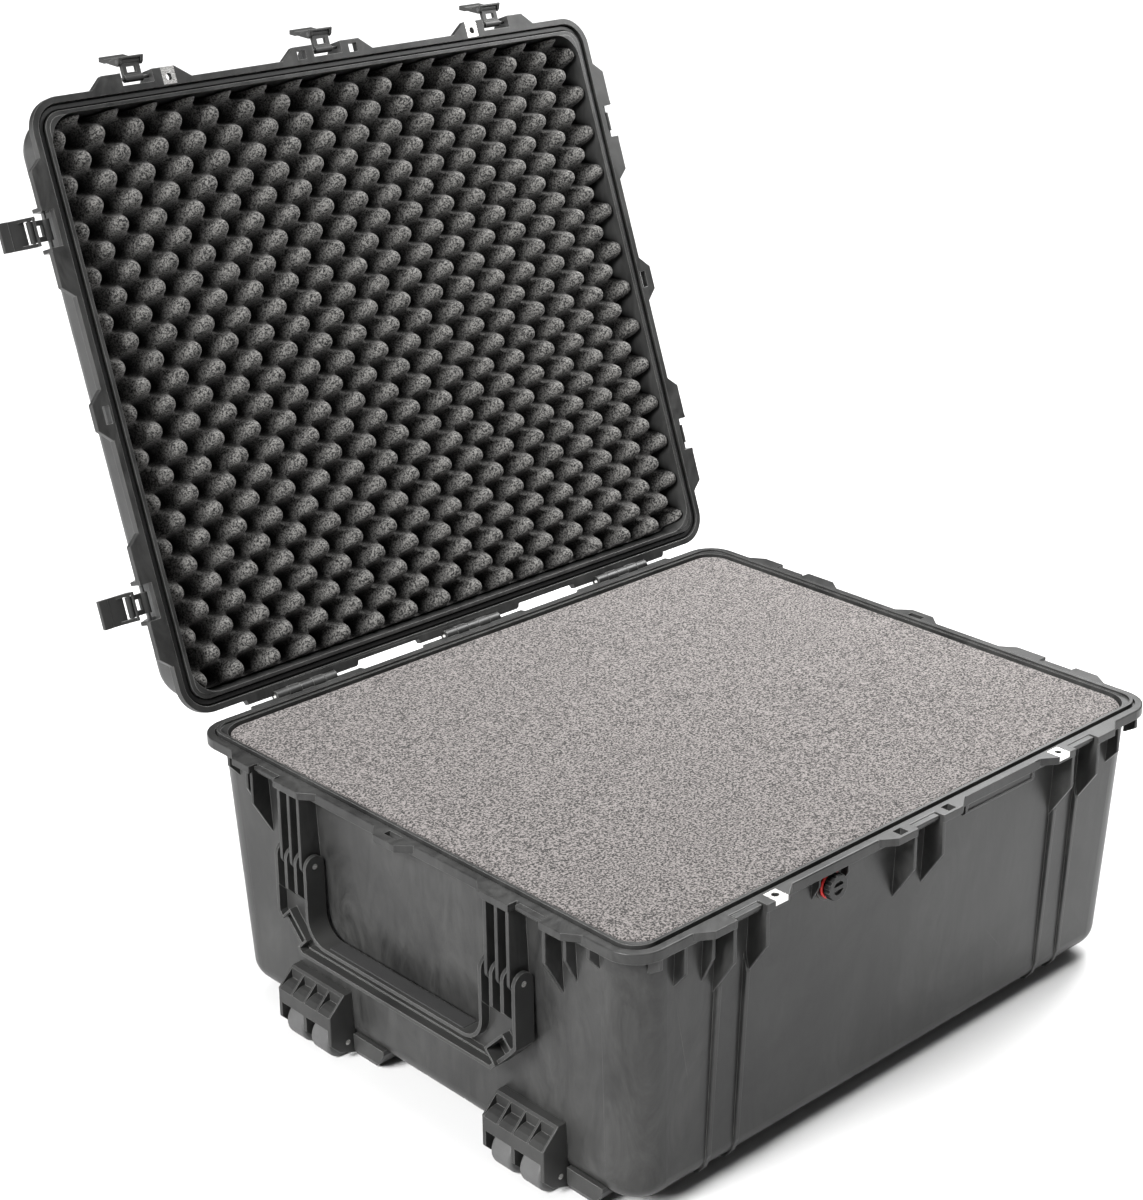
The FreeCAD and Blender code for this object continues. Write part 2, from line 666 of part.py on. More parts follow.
def latch_lever():
    out, top = LINK_PIVOT
    low = top - LINK_LENGTH
    end = low - LEVER_LENGTH
    half = LEVER_HALF_WIDTH
    blade = softened(block(-half, half, out + 1.3, out + 5, end, low - 5.5), lambda m: m.z < low - 8)
    pad = softened(block(-half, half, out + 0.6, out + 6.2, end, end + 11), lambda m: True)
    cheek = [(out - 5.6, low + 5), (out - 2, low + 4.6), (out + 5, low + 2), (out + 5, low - 14),
             (out + 1.3, low - 14), (out - 3.6, low - 3)]
    shapes = [blade, pad, rod(1.5, -half, half, "x", out - 4.5, low + 3.5)]
    for sign in (-1, 1):
        start, stop = sorted((sign * half, sign * (half - LEVER_CHEEK)))
        shapes += [profile(cheek, start, stop), rod(4.4, start, stop, "x", out, low)]
    grooves = [block(-half + 3, half - 3, out + 4.2, out + 8, low - 11 - step * 4, low - 9 - step * 4)
               for step in range(4)]
    grooves += [block(-half + 2.5, half - 2.5, out + 5.6, out + 8, end + 2 + step * 2.4, end + 3.2 + step * 2.4)
                for step in range(3)]
    hole = rod(LATCH_PIN_RADIUS + FIT, -half - 1, half + 1, "x", out, low)
    gap = rod(4.0, -LINK_HALF_WIDTH - 0.6, LINK_HALF_WIDTH + 0.6, "x", out, low)
    return without(joined(shapes), grooves + [hole, gap])


def lever_pin():
    out, top = LINK_PIVOT
    return rod(LATCH_PIN_RADIUS, -LEVER_HALF_WIDTH, LEVER_HALF_WIDTH, "x", out, top - LINK_LENGTH)


def placed_latches():
    """Every latch piece in its place, with the lid open.

    The front and left links stand out, the front levers are folded back, and the right latches lie
    back along the lid's wall.
    """
    pieces = {}
    for name, side, along in stations():
        lever_angle = FOLDED_LEVER if side == "front" else 0.0
        link_angle = LINK_LAID_BACK if side == "right" else LINK_OUT
        pieces["latch_link_" + name] = latch_turned(latch_link(), link_angle)
        pieces["latch_lever_" + name] = latch_turned(latch_lever(), link_angle, lever_angle)
        pieces["latch_lever_pin_" + name] = latch_turned(lever_pin(), link_angle)
        for kind in ("link_", "lever_", "lever_pin_"):
            key = "latch_" + kind + name
            pieces[key] = open_lid(on_side(pieces[key], side, along, LID_Z))
    return pieces


def latch_link_pins():
    half = STATION_GAP / 2 + FIN_THICKNESS - 0.5
    return Part.makeCompound([open_lid(on_side(rod(LATCH_PIN_RADIUS, -half, half, "x", *LINK_PIVOT),
                                               side, along, LID_Z)) for name, side, along in stations()])


# ---------------------------------------------------------------- handles

def handle_outline(inset=0.0):
    """The outer edge of the handle as (along, up from the rim plane) points, set in by a wall."""
    half = HANDLE_ARM + 1.5 * HANDLE_RIB_PITCH + HANDLE_RIB_THICKNESS / 2 - inset
    top = HANDLE_PIN_Z - RIM_Z - HANDLE_PLATE_DROP
    bottom = HANDLE_BOTTOM_Z - RIM_Z + inset
    cut = HANDLE_CHAMFER - inset * (2 - math.sqrt(2))
    return [(-half, top), (-half, bottom + cut), (-half + cut, bottom), (half - cut, bottom),
            (half, bottom + cut), (half, top)]


def handle_plate(inset, back, front):
    face = polygon([V(along, back, up) for along, up in handle_outline(inset)])
    return face.extrude(V(0, front - back, 0))


def handle_window(wall, start, end):
    """The hand opening with a wall round it, open at the top, with rounded lower corners."""
    half = HANDLE_ARM - 1.5 * HANDLE_RIB_PITCH - HANDLE_RIB_THICKNESS / 2 + wall
    low = HANDLE_WINDOW_Z - RIM_Z - wall
    box = block(-half, half, start, end, low, 40)
    return box.makeFillet(HANDLE_WINDOW_RADIUS + wall, [edge for edge in box.Edges
                                                        if abs(edge.CenterOfMass.z - low) < 0.1
                                                        and abs(abs(edge.CenterOfMass.x) - half) < 0.1])


def handle_fingers():
    """Four rounded fingers on each arm, around the pin. The inner two run down the face as ribs."""
    drop = HANDLE_PIN_Z - RIM_Z
    foot = drop - HANDLE_PLATE_DROP
    shank = [(HANDLE_BACK, drop), (HANDLE_FRONT, drop), (HANDLE_FRONT, foot - 8), (HANDLE_FLOOR - 1, foot - 20),
             (HANDLE_FLOOR - 1, foot - 1), (HANDLE_BACK, foot - 1)]
    shapes = []
    for sign in (-1, 1):
        for index in (-1.5, -0.5, 0.5, 1.5):
            start = sign * HANDLE_ARM + index * HANDLE_RIB_PITCH - HANDLE_RIB_THICKNESS / 2
            end = start + HANDLE_RIB_THICKNESS
            barrel = rod(12, start, end, "x", HANDLE_PIN_OUT, drop)
            shapes.append(joined([barrel, profile(shank, start, end)]))
    return shapes


def at_chamfer(shape, sign):
    """Moves a shape drawn over the origin, with z inward, onto a chamfered corner of the handle."""
    half = HANDLE_ARM + 1.5 * HANDLE_RIB_PITCH + HANDLE_RIB_THICKNESS / 2
    reach = HANDLE_CHAMFER / 2
    placed = shape.copy()
    placed.rotate(V(0, 0, 0), V(0, 1, 0), 45 * sign)
    placed.translate(V(-sign * (half - reach), 0, HANDLE_BOTTOM_Z - RIM_Z + reach))
    return placed


def grip_bed(clearance=0.0):
    """The strip let into the top of the bottom bar."""
    low = HANDLE_WINDOW_Z - RIM_Z
    half = GRIP_HALF_LENGTH + clearance
    return block(-half, half, HANDLE_BACK + 1.5 - clearance, HANDLE_FRONT - 4.5 + clearance,
                 low - GRIP_DEPTH - clearance, low + GRIP_PROUD)


def handle_frame():
    """A channel-section frame: a floor behind, a wall round the outside and one round the window."""
    wall = HANDLE_WALL
    recess = handle_plate(wall, HANDLE_FLOOR, HANDLE_FRONT + 2)
    recess = recess.cut(handle_window(wall, HANDLE_BACK, HANDLE_FRONT + 4))
    frame = handle_plate(0, HANDLE_BACK, HANDLE_FRONT).cut(recess)
    bottom = HANDLE_BOTTOM_Z - RIM_Z
    ridge = block(-140, 140, HANDLE_FLOOR - 1, HANDLE_FRONT - 3, bottom + 11, bottom + 12.8)
    shapes = [frame, ridge] + handle_fingers()
    tools = [handle_window(0, HANDLE_BACK - 5, HANDLE_FRONT + 5), grip_bed(FIT)]
    for sign in (-1, 1):
        shapes.append(at_chamfer(block(-19.5, 19.5, HANDLE_FLOOR - 1, HANDLE_FRONT - 0.5, 1, 21), sign))
        tools.append(at_chamfer(block(-17, 17, HANDLE_FRONT - 17, HANDLE_FRONT + 2, 4, 18.5), sign))
        tools.append(at_chamfer(block(-17, 17, HANDLE_FRONT - 5, HANDLE_FRONT + 2, -2, 5), sign))
    tools.append(rod(HANDLE_PIN_RADIUS + FIT, -220, 220, "x", HANDLE_PIN_OUT, HANDLE_PIN_Z - RIM_Z))
    return without(joined(shapes), tools).removeSplitter()


def handle_grip():
    """A soft strip let into the top of the bottom bar."""
    strip = grip_bed()
    top = HANDLE_WINDOW_Z - RIM_Z + GRIP_PROUD
    return strip.makeFillet(0.9, [edge for edge in strip.Edges if abs(edge.CenterOfMass.z - top) < 0.1])


def handle_pin_pair(side):
    half = 1.5 * HANDLE_RIB_PITCH + HANDLE_RIB_THICKNESS / 2
    drop = HANDLE_PIN_Z - RIM_Z
    return [on_side(rod(HANDLE_PIN_RADIUS, -half, half, "x", HANDLE_PIN_OUT, drop), side, sign * HANDLE_ARM)
            for sign in (-1, 1)]


# ---------------------------------------------------------------- wheels and skids

def wheel_housing(centre):
    """A cover over two wheels, with five gussets on its sloped top and two open arches in its face."""
    half = HOUSING_WIDTH / 2
    side = [(-370, 79), (-388.7, 78.4), (HOUSING_FACE, 58.5), (HOUSING_FACE, 24), (-397, 12), (-376, 4),
            (-362, 4), (-352, 20)]
    body = elevation(side, centre - half, centre + half)
    body = softened(body, lambda m: m.x < -375 and abs(abs(m.y - centre) - half) < 0.1, 1.0)
    tools = [outer_tub(0.3)]
    cavity = WHEEL_RADIUS + WELL_CLEARANCE
    room = (WHEEL_PITCH - HOUSING_PLATE) / 2
    for sign in (-1, 1):
        middle = centre + sign * WHEEL_PITCH / 2
        tools.append(rod(cavity, middle - room, middle + room, "y", AXLE_X, WHEEL_RADIUS))
        tools.append(block(AXLE_X - 12, AXLE_X + 30, middle - room, middle + room, -5, WHEEL_RADIUS))
        arch = block(HOUSING_FACE - 5, AXLE_X, middle - room, middle + room, -5, ARCH_TOP)
        tools.append(softened(arch, lambda m: m.x < HOUSING_FACE and m.z > ARCH_TOP - 1, 1.0))
    pocket = [(HOUSING_FACE - 5, 57), (HOUSING_FACE, 57.5), (-403, 61.5), (-397, 63.8), (-391, 64.5),
              (-391, 90), (HOUSING_FACE - 5, 90)]
    pitch = (HOUSING_WIDTH - GUSSET_THICKNESS) / 4
    for index in range(4):
        start = centre - half + GUSSET_THICKNESS + index * pitch
        tools.append(elevation(pocket, start, start + pitch - GUSSET_THICKNESS))
    tools.append(rod(AXLE_RADIUS + FIT, centre - half - 1, centre + half + 1, "y", AXLE_X, WHEEL_RADIUS))
    return without(body, tools).removeSplitter()


def wheel(y):
    """A wheel with a moulded hub, a rounded tread edge and a shallow tread groove."""
    half = WHEEL_WIDTH / 2
    body = rod(WHEEL_RADIUS, y - half, y + half, "y", AXLE_X, WHEEL_RADIUS)
    body = body.makeFillet(4.0, [edge for edge in body.Edges if edge.BoundBox.XLength > 20])
    tools = [rod(AXLE_RADIUS + FIT, y - half - 1, y + half + 1, "y", AXLE_X, WHEEL_RADIUS)]
    for sign in (-1, 1):
        start, end = sorted((y + sign * half, y + sign * (half - 3)))
        dish = rod(13.5, start, end, "y", AXLE_X, WHEEL_RADIUS)
        tools.append(dish.cut(rod(6.5, start, end, "y", AXLE_X, WHEEL_RADIUS)))
    return without(body, tools)


def wheel_axle(centre):
    half = HOUSING_WIDTH / 2
    return rod(AXLE_RADIUS, centre - half, centre + half, "y", AXLE_X, WHEEL_RADIUS)


def corner_skid(centre):
    """A low runner under the bottom edge beside a wheel housing, with its far end swept up."""
    middle = centre + SKID_OFFSET
    half = SKID_LENGTH / 2
    far = middle - half
    outline = [(-368, 29), (-380, 29), (-379.4, 10), (-376, 3), (-370, 0), (-346, 0), (-338, 17), (-345, 20)]
    body = elevation(outline, far, middle + half)
    sweep = profile([(far - 2, -5), (middle + 8, -5), (middle + 8, 0), (middle - 7, 2), (far + 8, 11),
                     (far - 2, 27)], -400, -320)
    return without(body, [outer_tub(0.3), sweep])


# ---------------------------------------------------------------- purge valve

def at_valve(shape):
    return on_side(shape, "front", VALVE_X, VALVE_Z)


def disc(radius, start, end):
    return Part.makeCylinder(radius, end - start, V(0, start, 0), V(0, 1, 0))


def valve_parts():
    """The valve's body, its nut inside the wall, its seal ring and its knob."""
    seat = wall_out(29) + 2
    inner = wall_out(29) - WALL_THICKNESS
    body = joined([disc(VALVE_BODY_RADIUS, inner - 9, seat + 3), disc(11, seat, seat + 5)])
    thread = inner - 1
    nut_points = [(15 * math.cos(i * math.pi / 3), 15 * math.sin(i * math.pi / 3)) for i in range(6)]
    nut = polygon([V(x, thread - 6, z) for x, z in nut_points]).extrude(V(0, 6, 0))
    nut = nut.cut(disc(VALVE_BODY_RADIUS + FIT, thread - 7, thread + 1))
    seal = Part.makeTorus(13.1, 1.6, V(0, seat + 2.2, 0), V(0, 1, 0))
    knob = disc(VALVE_KNOB_RADIUS, seat + 5.3, seat + 13)
    knob = knob.makeFillet(1.5, [edge for edge in knob.Edges if edge.BoundBox.XLength > 20])
    lobes = []
    for index in range(10):
        angle = index * math.pi / 5
        lobes.append(moved(disc(2.6, seat + 4, seat + 20), x=15.2 * math.cos(angle), z=15.2 * math.sin(angle)))
    knob = without(knob, lobes + [disc(7.5, seat + 10.5, seat + 20).cut(block(-9, 9, seat, seat + 21, -2, 2))])
    return at_valve(body), at_valve(nut), at_valve(seal), at_valve(knob)


# ---------------------------------------------------------------- foam

def foam_layer(low, high, bottom_round=0.0):
    """A block that follows the drafted inside of the base."""
    inset = WALL_INSET + WALL_THICKNESS + FOAM_CLEARANCE
    body = tub(inset + DRAFT * (RIM_Z - low), low, inset + DRAFT * (RIM_Z - high), high, FOAM_RADIUS)
    if bottom_round:
        body = body.makeFillet(bottom_round, edges_at(body, low))
    return body


def foam_stack():
    count = 3
    start = INNER_FLOOR_Z + FOAM_PAD_HEIGHT
    step = (FOAM_TOP_Z - start) / count
    pad = foam_layer(INNER_FLOOR_Z + FIT, start, BOTTOM_RADIUS - WALL_THICKNESS + 1)
    pad = without(pad, wheel_wells(WHEEL_RADIUS + WELL_CLEARANCE + 5, 6))
    layers = [foam_layer(start + index * step, start + (index + 1) * step) for index in range(count)]
    layers[2] = layers[2].cut(at_valve(disc(17, -60, -10)))
    names = ["base_foam_layer_lower", "base_foam_layer_middle", "base_foam_layer_upper"]
    return dict(zip(["base_foam_bottom_pad"] + names, [pad] + layers))


# ---------------------------------------------------------------- export

def all_nodes():
    body, nut, seal, knob = valve_parts()
    nodes = {
        "base_shell": base_shell(),
        "purge_valve_body": body,
        "purge_valve_nut": nut,
        "purge_valve_seal": seal,
        "purge_valve_knob": knob,
        "padlock_plates_base": padlock_plates(-1),
        "padlock_plates_lid": open_lid(padlock_plates(1)),
        "hinge_pins": hinge_pins(),
        "lid_shell": lid_shell(),
        "lid_gasket": lid_gasket(),
        "lid_foam": lid_foam(),
        "latch_link_pins": latch_link_pins(),
        "handle_pins": Part.makeCompound(handle_pin_pair("left") + handle_pin_pair("right")),
    }
    nodes.update(foam_stack())
    nodes.update(placed_latches())
    for side in ("left", "right"):
        nodes["handle_" + side] = on_side(handle_frame(), side)
        nodes["handle_grip_" + side] = on_side(handle_grip(), side)
    for name, centre in HOUSING_CENTRES.items():
        nodes["wheel_housing_" + name] = wheel_housing(centre)
        nodes["wheel_axle_" + name] = wheel_axle(centre)
        nodes["corner_skid_" + name] = corner_skid(centre)
        for place, sign in (("inner", -1), ("outer", 1)):
            toward = sign if centre > 0 else -sign
            nodes["wheel_" + name + "_" + place] = wheel(centre + toward * WHEEL_PITCH / 2)
    return nodes


def main():
    os.makedirs("parts", exist_ok=True)
    for name, shape in all_nodes().items():
        write(name, shape)


main()
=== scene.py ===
import json
import math

import bmesh
import bpy
import numpy as np
from mathutils import Matrix, Vector, noise


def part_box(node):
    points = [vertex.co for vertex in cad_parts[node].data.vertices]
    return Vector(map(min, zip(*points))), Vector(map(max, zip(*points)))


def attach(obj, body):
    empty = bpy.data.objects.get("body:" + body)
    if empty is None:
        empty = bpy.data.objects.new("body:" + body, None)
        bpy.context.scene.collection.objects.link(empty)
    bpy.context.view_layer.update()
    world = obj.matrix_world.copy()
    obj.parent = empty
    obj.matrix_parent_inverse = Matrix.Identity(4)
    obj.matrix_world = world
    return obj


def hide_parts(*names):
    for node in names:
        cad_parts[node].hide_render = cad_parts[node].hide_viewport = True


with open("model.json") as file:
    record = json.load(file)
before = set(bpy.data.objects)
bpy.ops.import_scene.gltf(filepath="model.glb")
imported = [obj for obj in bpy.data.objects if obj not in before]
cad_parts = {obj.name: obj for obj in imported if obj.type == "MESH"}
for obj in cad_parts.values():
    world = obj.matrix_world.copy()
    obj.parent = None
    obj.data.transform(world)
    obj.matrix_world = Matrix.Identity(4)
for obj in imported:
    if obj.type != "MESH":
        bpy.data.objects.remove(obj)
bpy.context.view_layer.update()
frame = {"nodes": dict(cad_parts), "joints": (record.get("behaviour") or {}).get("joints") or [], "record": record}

# Camera: where it stands in metres, which way it looks in degrees, and its lens
CAMERA_PLACE = (-1.7501, -1.7210, 1.4523)
CAMERA_AZIMUTH = -43.655
CAMERA_ELEVATION = 20.282
CAMERA_ROLL = -0.2915
CAMERA_LENS = 74.08
CAMERA_SHIFT = (-0.0297, -0.0697)

# Convoluted foam: bumps stand on every other point of a grid with this pitch. All lengths are metres.
BUMP_PITCH = (0.02485, 0.02515)
BUMP_ORIGIN = (-0.1450, -0.2220)
BUMP_HEIGHT = 0.040
BUMP_SHARPNESS = 2.2
BUMP_UNEVENNESS = 0.0009
CROWN_GAP = 0.0012
FOAM_STEP = 0.0025
HEIGHT_LAYER = "bump_height"
CORNER_FACETS = 7

# Plain foam blocks, which lean inward as the case's walls do
BLOCK_EDGE_RADIUS = 0.007
BLOCK_LEAN = 0.048
BLOCK_LEAST_CORNER = 0.012
BLOCK_FACE_CENTRE = 0.02
BLOCK_DIP = 0.0012
FOAM_CORNER_RADIUS = 0.032

# Loops of points round a block: their corners in order, and how finely they are cut
CORNERS = ((1, 1), (-1, 1), (-1, -1), (1, -1))
LOOP_CORNER_STEPS = 12
LOOP_SIDE_STEPS = 40
FACE_LOOPS = 22

# Lights: direction they come from, apparent width in degrees, and strength
SUNS = {
    "key": ((-1.0, -0.05, 0.75), 24, 7.6),
    "top": ((0.35, 0.1, 1.0), 60, 2.6),
}
SIDE_LIGHT_PLACE = Vector((1.2, 0.2, 1.5))
SIDE_LIGHT_TARGET = Vector((0.2, 0.1, 0.3))
SIDE_LIGHT_SIZE = 0.9
SIDE_LIGHT_POWER = 46.0
SKY_STRENGTH = 0.12
FLOOR_HALF = 30
FLOOR_GREY = 0.62

# Plastic: its paler edges, partly wear and partly painted highlight
EDGE_WEAR_AND_HIGHLIGHT_COLOR = (0.16, 0.16, 0.155)
EDGE_RADIUS = 0.0009


# ---------------------------------------------------------------- frame

def joint(name):
    return next(j for j in frame["joints"] if j["name"] == name)


HINGE = joint("lid_hinge")
HINGE_POINT = Vector(HINGE["pos_m"])
OPENING = Matrix.Rotation(math.radians(-HINGE["range_deg"][0]), 4, Vector(HINGE["axis"]))
LID_OPENED = Matrix.Translation(HINGE_POINT) @ OPENING @ Matrix.Translation(-HINGE_POINT)


def shut_lid_box(node):
    """Lowest and highest corner of a lid node, measured as if the lid were shut."""
    shut = LID_OPENED.inverted()
    points = np.array([shut @ v.co for v in frame["nodes"][node].data.vertices])
    return Vector(points.min(0)), Vector(points.max(0))


# ---------------------------------------------------------------- materials

def node(tree, kind, **settings):
    made = tree.nodes.new(kind)
    for name, value in settings.items():
        setattr(made, name, value)
    return made


def new_material(name, color, roughness, metallic=0.0, specular=0.5):
    made = bpy.data.materials.new(name)
    made.use_nodes = True
    shader = made.node_tree.nodes["Principled BSDF"]
    shader.inputs["Base Color"].default_value = (*color, 1)
    shader.inputs["Roughness"].default_value = roughness
    shader.inputs["Metallic"].default_value = metallic
    shader.inputs["Specular IOR Level"].default_value = specular
    return made, made.node_tree, shader


def place_coordinates(tree, stretch=(1, 1, 1)):
    """Object coordinates, stretched along each axis."""
    coordinates = node(tree, "ShaderNodeTexCoord")
    mapping = node(tree, "ShaderNodeMapping")
    mapping.inputs["Scale"].default_value = stretch
    tree.links.new(coordinates.outputs["Object"], mapping.inputs["Vector"])
    return mapping.outputs["Vector"]


def noise_field(tree, vector, scale, detail=4.0, roughness=0.55, distortion=0.0):
    field = node(tree, "ShaderNodeTexNoise")
    field.inputs["Scale"].default_value = scale
    field.inputs["Detail"].default_value = detail
    field.inputs["Roughness"].default_value = roughness
    field.inputs["Distortion"].default_value = distortion
    tree.links.new(vector, field.inputs["Vector"])
    return field.outputs["Fac"]


def spread(tree, value, low, high, to_low, to_high):
    """Remaps a value from one range to another, clamped."""
    ranged = node(tree, "ShaderNodeMapRange")
    for name, number in (("From Min", low), ("From Max", high), ("To Min", to_low), ("To Max", to_high)):
        ranged.inputs[name].default_value = number
    tree.links.new(value, ranged.inputs["Value"])
    return ranged.outputs["Result"]


def color_between(tree, factor, first, second):
    """Mixes two colors, each given as three numbers or as a socket."""
    mix = node(tree, "ShaderNodeMix", data_type="RGBA")
    for socket, color in ((mix.inputs[6], first), (mix.inputs[7], second)):
        if isinstance(color, tuple):
            socket.default_value = (*color, 1)
        else:
            tree.links.new(color, socket)
    tree.links.new(factor, mix.inputs[0])
    return mix.outputs[2]


def product(tree, first, second):
    made = node(tree, "ShaderNodeMath", operation="MULTIPLY")
    tree.links.new(first, made.inputs[0])
    tree.links.new(second, made.inputs[1])
    return made.outputs[0]


def bump(tree, shader, height, distance, strength, normal=None):
    made = node(tree, "ShaderNodeBump")
    made.inputs["Strength"].default_value = strength
    made.inputs["Distance"].default_value = distance
    tree.links.new(height, made.inputs["Height"])
    if normal:
        tree.links.new(normal, made.inputs["Normal"])
    tree.links.new(made.outputs["Normal"], shader.inputs["Normal"])


def rounded_edges(tree):
    """The normal of slightly rounded edges, and a mask that is 1 on the edges."""
    rounded = node(tree, "ShaderNodeBevel", samples=4)
    rounded.inputs["Radius"].default_value = EDGE_RADIUS
    flat = node(tree, "ShaderNodeNewGeometry")
    agreement = node(tree, "ShaderNodeVectorMath", operation="DOT_PRODUCT")
    tree.links.new(rounded.outputs["Normal"], agreement.inputs[0])
    tree.links.new(flat.outputs["Normal"], agreement.inputs[1])
    return rounded.outputs["Normal"], spread(tree, agreement.outputs["Value"], 0.97, 0.8, 0.0, 1.0)


def moulded_plastic(name, dark, light, roughness, grain, flow=False):
    """Black moulded plastic: fine grain, mottling and paler edges that are partly wear and partly painted
    highlight, and with flow also swirling marks.
    """
    made, tree, shader = new_material(name, dark, roughness, specular=0.28)
    place = place_coordinates(tree)
    mottling = noise_field(tree, place, 5.0, 5.0, 0.6, 1.2)
    streaks = noise_field(tree, place_coordinates(tree, (4, 4, 1.4)), 5.0, 8.0, 0.7, 3.2)
    if flow:
        shade = spread(tree, product(tree, mottling, streaks), 0.12, 0.42, 0.0, 1.0)
    else:
        shade = spread(tree, mottling, 0.35, 0.65, 0.0, 1.0)
    plain = color_between(tree, shade, dark, light)
    normal, edges = rounded_edges(tree)
    # Paler edges: partly wear, partly a painted highlight where the edges catch the light.
    tree.links.new(color_between(tree, edges, plain, EDGE_WEAR_AND_HIGHLIGHT_COLOR), shader.inputs["Base Color"])
    gloss = spread(tree, streaks, 0.3, 0.7, roughness - 0.06, roughness + 0.07)
    tree.links.new(gloss, shader.inputs["Roughness"])
    bump(tree, shader, noise_field(tree, place, grain, 3.0, 0.6), 0.0002, 0.35, normal)
    return made


def foam_material(name, dark, light, contrast, bump_distance, painted_valley_shade=False):
    """Open-cell foam: a speckle of lit cell walls and dark cells, and optionally painted shade that darkens it to
    black in the valleys.
    """
    made, tree, shader = new_material(name, dark, 0.95, specular=0.15)
    place = place_coordinates(tree)
    cells = noise_field(tree, place, 430.0, 3.0, 0.75)
    speckle = spread(tree, cells, 0.5 - contrast, 0.5 + contrast, 0.0, 1.0)
    color = color_between(tree, speckle, dark, light)
    if painted_valley_shade:
        # Painted shade: the colour fades to near black where the bump height is low, in the foam's valleys.
        height = node(tree, "ShaderNodeAttribute", attribute_name=HEIGHT_LAYER)
        outside_painted_shade = spread(tree, height.outputs["Fac"], 0.05, 0.75, 0.0, 1.0)
        color = color_between(tree, outside_painted_shade, (0.002, 0.002, 0.002), color)
    tree.links.new(color, shader.inputs["Base Color"])
    shader.inputs["Sheen Weight"].default_value = 0.08
    shader.inputs["Sheen Roughness"].default_value = 0.6
    bump(tree, shader, cells, bump_distance, 0.9)
    return made


def steel(name, color, roughness):
    """Satin steel with fine scratches."""
    made, tree, shader = new_material(name, color, roughness, metallic=1.0)
    scratches = noise_field(tree, place_coordinates(tree, (1, 14, 14)), 220.0, 4.0, 0.6)
    tree.links.new(spread(tree, scratches, 0.3, 0.7, roughness, roughness + 0.18), shader.inputs["Roughness"])
    bump(tree, shader, scratches, 0.00005, 0.3)
    return made


def rubber(name, dark, light, roughness):
    """Matt rubber or polyurethane with a soft cloudy shade and a fine grain."""
    made, tree, shader = new_material(name, dark, roughness, specular=0.35)
    place = place_coordinates(tree)
    cloud = noise_field(tree, place, 30.0, 4.0)
    tree.links.new(color_between(tree, cloud, dark, light), shader.inputs["Base Color"])
    bump(tree, shader, noise_field(tree, place, 260.0, 4.0, 0.6), 0.0003, 0.5)
    return made


def build_materials():
    """One material for each slot of the record, and one more for the dark pins."""
    recipes = {
        "shell_plastic": (moulded_plastic, (0.010, 0.010, 0.010), (0.040, 0.040, 0.039), 0.36, 900.0, True),
        "fitting_plastic": (moulded_plastic, (0.018, 0.018, 0.018), (0.032, 0.032, 0.031), 0.42, 700.0),
        "valve_plastic": (moulded_plastic, (0.010, 0.010, 0.010), (0.016, 0.016, 0.016), 0.4, 700.0),
        "base_foam": (foam_material, (0.008, 0.007, 0.0065), (0.175, 0.160, 0.155), 0.065, 0.0010),
        # The last True gives the lid foam painted shade in its valleys.
        "lid_foam": (foam_material, (0.007, 0.007, 0.007), (0.155, 0.151, 0.144), 0.075, 0.0014, True),
        "gasket_rubber": (rubber, (0.008, 0.008, 0.008), (0.014, 0.014, 0.014), 0.5),
        "grip_rubber": (rubber, (0.02, 0.02, 0.02), (0.035, 0.035, 0.035), 0.6),
        "valve_seal": (rubber, (0.50, 0.012, 0.012), (0.62, 0.03, 0.025), 0.35),
        "wheel_polyurethane": (rubber, (0.055, 0.055, 0.055), (0.09, 0.09, 0.09), 0.5),
        "stainless_steel": (steel, (0.74, 0.73, 0.71), 0.2),
        "pin_steel": (steel, (0.12, 0.12, 0.12), 0.35),
    }
    return {name: make(name, *values) for name, (make, *values) in recipes.items()}


def dress(materials):
    """Gives every CAD node the material of its slot, except that the latch pins are of a darker steel."""
    for entry in frame["record"]["subparts"]:
        is_pin = entry["node"].startswith(("latch_link_pins", "latch_lever_pin"))
        slot = "pin_steel" if is_pin else entry["material_slot"]
        mesh = frame["nodes"][entry["node"]].data
        mesh.materials.clear()
        mesh.materials.append(materials[slot])


# ---------------------------------------------------------------- foam

def mesh_object(name, made, material):
    """Turns a finished bmesh into a smooth shaded object of the scene."""
    mesh = bpy.data.meshes.new(name)
    made.to_mesh(mesh)
    made.free()
    mesh.polygons.foreach_set("use_smooth", [True] * len(mesh.polygons))
    mesh.materials.append(material)
    shown = bpy.data.objects.new(name, mesh)
    bpy.context.scene.collection.objects.link(shown)
    return shown


def finish_foam(shown, body, replaced):
    """Hangs a foam piece on the body it rides and hides the CAD node it stands in for."""
    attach(shown, body)
    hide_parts(replaced)


def bump_height(x, y):
    """Height of the convoluted face, from 0 in the valleys to 1 on the crowns."""
    u = (x - BUMP_ORIGIN[0]) / BUMP_PITCH[0]
    v = (y - BUMP_ORIGIN[1]) / BUMP_PITCH[1]
    wave = math.cos(math.pi * u) * math.cos(math.pi * v)
    return math.sin(math.pi / 4 * (1 + wave)) ** BUMP_SHARPNESS


def cut_corners(made, low, high, radius):
    """Slices a sheet down to a rounded rectangle with a few straight cuts at each corner."""
    for sx in (-1, 1):
        for sy in (-1, 1):
            centre = Vector(((high.x - radius) if sx > 0 else (low.x + radius),
                             (high.y - radius) if sy > 0 else (low.y + radius), 0))
            for index in range(CORNER_FACETS):
                angle = (index + 0.5) / CORNER_FACETS * math.pi / 2
                outward = Vector((sx * math.cos(angle), sy * math.sin(angle), 0))
                bmesh.ops.bisect_plane(made, geom=made.verts[:] + made.edges[:] + made.faces[:],
                                       plane_co=centre + outward * radius, plane_no=outward,
                                       clear_outer=True)


